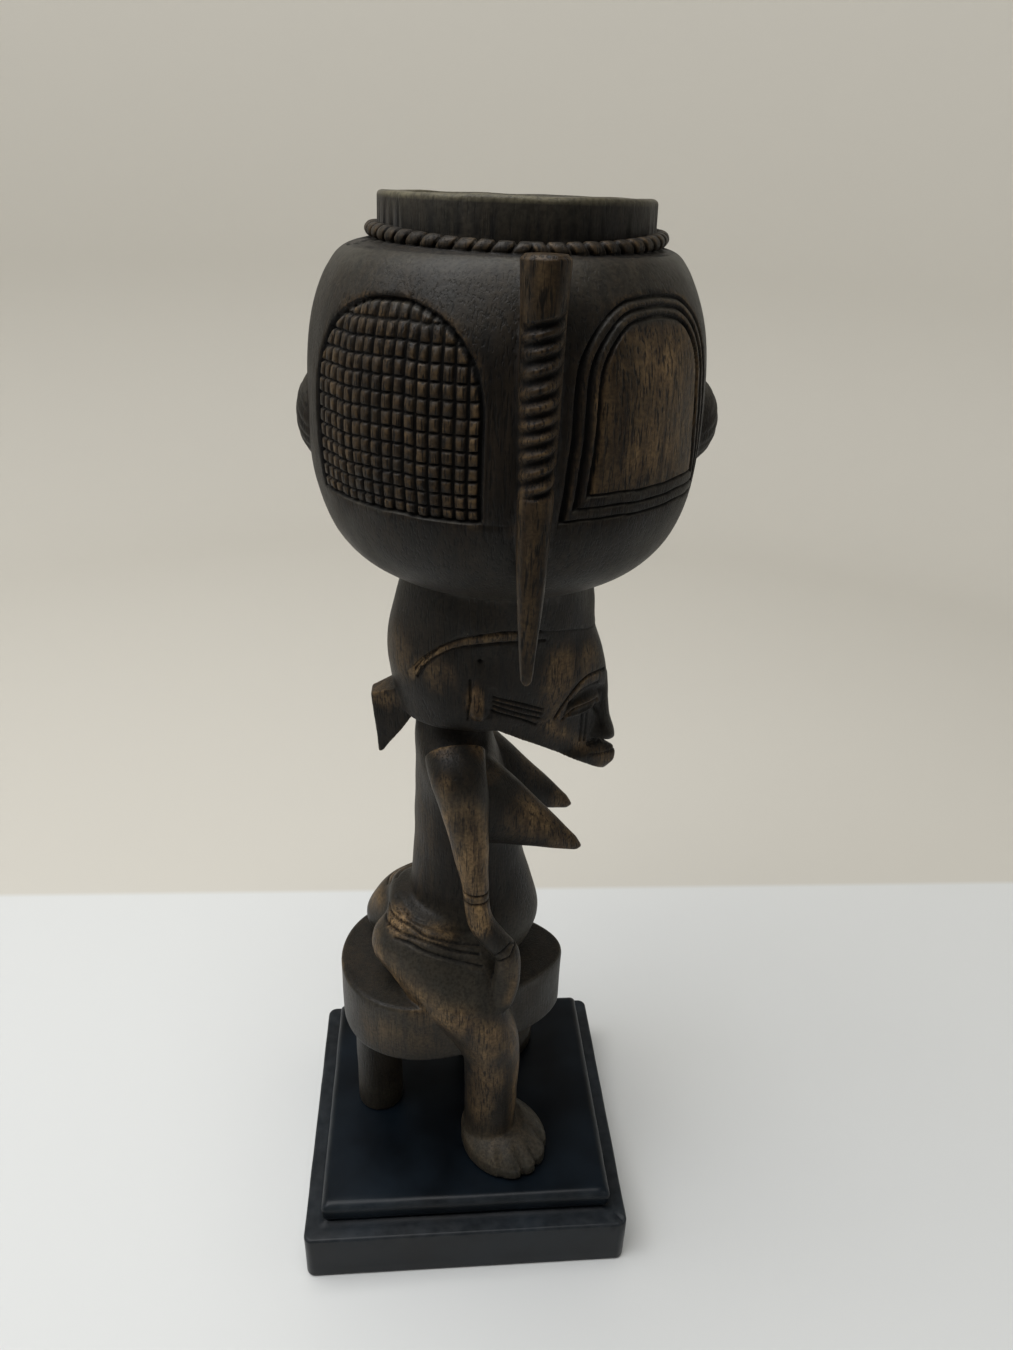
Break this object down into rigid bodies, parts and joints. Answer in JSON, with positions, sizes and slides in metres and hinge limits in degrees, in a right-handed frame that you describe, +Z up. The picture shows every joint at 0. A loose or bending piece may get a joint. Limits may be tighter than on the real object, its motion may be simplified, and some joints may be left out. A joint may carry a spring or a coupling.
{
  "type": "carved wooden figure",
  "caption": "Seated wooden figure on a round stool that carries an open vessel on its head, carved from one block and standing on a stepped black plinth.",
  "frame": {"origin": "middle of the plinth's underside", "axes": "+Z up, +X the way the figure faces, +Y towards its left"},
  "size_m": [0.1411, 0.1298, 0.3995],
  "materials": {
    "figure": "dark worn patina, satin",
    "plinth": "black lacquer, satin"
  },
  "bodies": {
    "root": {"figure": "figure", "plinth": "plinth"}
  },
  "joints": []
}
